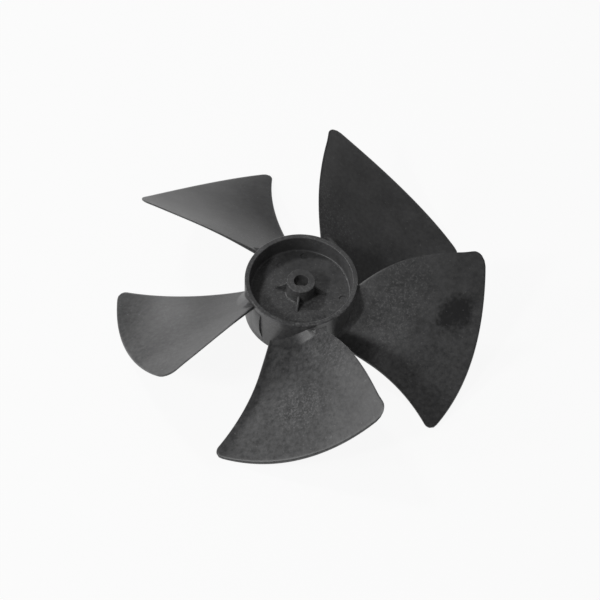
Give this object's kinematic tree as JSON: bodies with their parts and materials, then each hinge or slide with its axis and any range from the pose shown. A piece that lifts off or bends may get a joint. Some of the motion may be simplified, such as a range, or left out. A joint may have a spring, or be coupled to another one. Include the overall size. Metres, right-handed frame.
{
  "type": "axial fan impeller",
  "caption": "Moulded axial fan impeller: a cup-shaped hub with a D-bored boss and swept, twisted, cambered blades.",
  "frame": {"origin": "centre of the shaft bore at the boss's front face", "axes": "+Z along the bore axis towards the front of the fan (the open side of the hub cup); the flat of the D bore faces -Y; one blade points along -Y"},
  "size_m": [0.1532, 0.1519, 0.0381],
  "materials": {
    "black_plastic": "matte black injection moulded plastic, faintly mottled, with light scuffs and dust"
  },
  "bodies": {
    "root": {"impeller": "black_plastic"}
  },
  "joints": []
}
